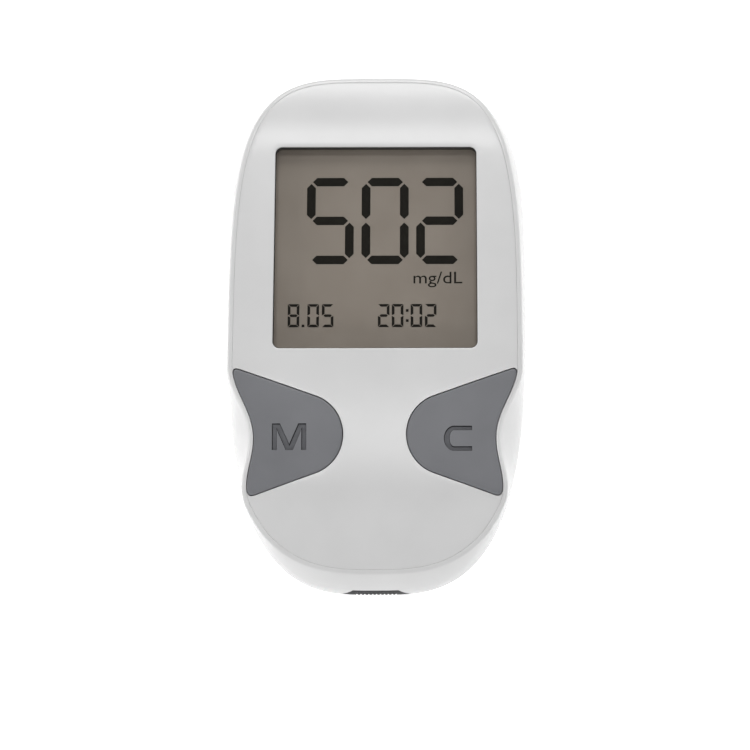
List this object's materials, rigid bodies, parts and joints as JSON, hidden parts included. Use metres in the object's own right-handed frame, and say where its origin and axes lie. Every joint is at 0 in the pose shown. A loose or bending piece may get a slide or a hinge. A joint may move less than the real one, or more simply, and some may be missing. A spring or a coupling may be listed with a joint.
{
  "type": "blood glucose meter",
  "caption": "Hand-held blood glucose meter: white housing with scooped sides, inset segment display, grey keys that press in, test strip port and sliding battery door",
  "frame": {"origin": "On the flat back, under the middle of the meter's bounding box.", "axes": "+Z comes out of the display face, +Y points along the meter to the display end, +X is to the right as the display is read."},
  "size_m": [0.0542, 0.0933, 0.0221],
  "materials": {
    "white_plastic": "satin moulded",
    "key_plastic": "fine matte",
    "dark_plastic": "matte",
    "clear_window": "clear, polished",
    "display_glass": "polished",
    "holder_plastic": "matte",
    "elastomer": "matte",
    "board_laminate": "solder mask",
    "silicone": "matte",
    "carbon": "matte",
    "black_resin": "matte",
    "can_metal": "bright",
    "connector_plastic": "matte",
    "gold_plate": "bright",
    "cell_sleeve": "shrunk film",
    "spring_steel": "nickel plated",
    "screw_steel": "zinc plated"
  },
  "bodies": {
    "meter": {"front_cover": "white_plastic", "face_panel": "white_plastic", "rear_cover": "white_plastic", "port_bezel": "dark_plastic", "display_window": "clear_window", "lcd_front_glass": "display_glass", "lcd_rear_glass": "display_glass", "lcd_frame": "holder_plastic", "zebra_strip": "elastomer", "main_board": "board_laminate", "memory_key_dome": "silicone", "code_key_dome": "silicone", "microcontroller": "black_resin", "buzzer": "black_resin", "crystal_can": "can_metal", "strip_connector": "connector_plastic", "strip_contact_1": "gold_plate", "strip_contact_2": "gold_plate", "strip_contact_3": "gold_plate", "battery_cell_left": "cell_sleeve", "battery_cell_right": "cell_sleeve", "bridge_contact": "spring_steel", "negative_contact": "spring_steel", "positive_contact": "spring_steel", "case_screw_1": "screw_steel", "case_screw_2": "screw_steel", "case_screw_3": "screw_steel", "case_screw_4": "screw_steel", "board_screw_1": "screw_steel", "board_screw_2": "screw_steel"},
    "memory_key_body": {"memory_key": "key_plastic", "memory_key_pill": "carbon"},
    "code_key_body": {"code_key": "key_plastic", "code_key_pill": "carbon"},
    "battery_door_body": {"battery_door": "white_plastic"}
  },
  "joints": [
    {"name": "memory_key_press", "type": "slide", "parent": "meter", "child": "memory_key_body", "axis": [0, 0, -1], "range_m": [0, 0.0008], "stiffness_N_per_m": 1200, "deforming": ["memory_key_dome"]},
    {"name": "code_key_press", "type": "slide", "parent": "meter", "child": "code_key_body", "axis": [0, 0, -1], "range_m": [0, 0.0008], "stiffness_N_per_m": 1200, "deforming": ["code_key_dome"]},
    {"name": "battery_door_slide", "type": "slide", "parent": "meter", "child": "battery_door_body", "axis": [0, 1, 0], "range_m": [0, 0.054]}
  ]
}
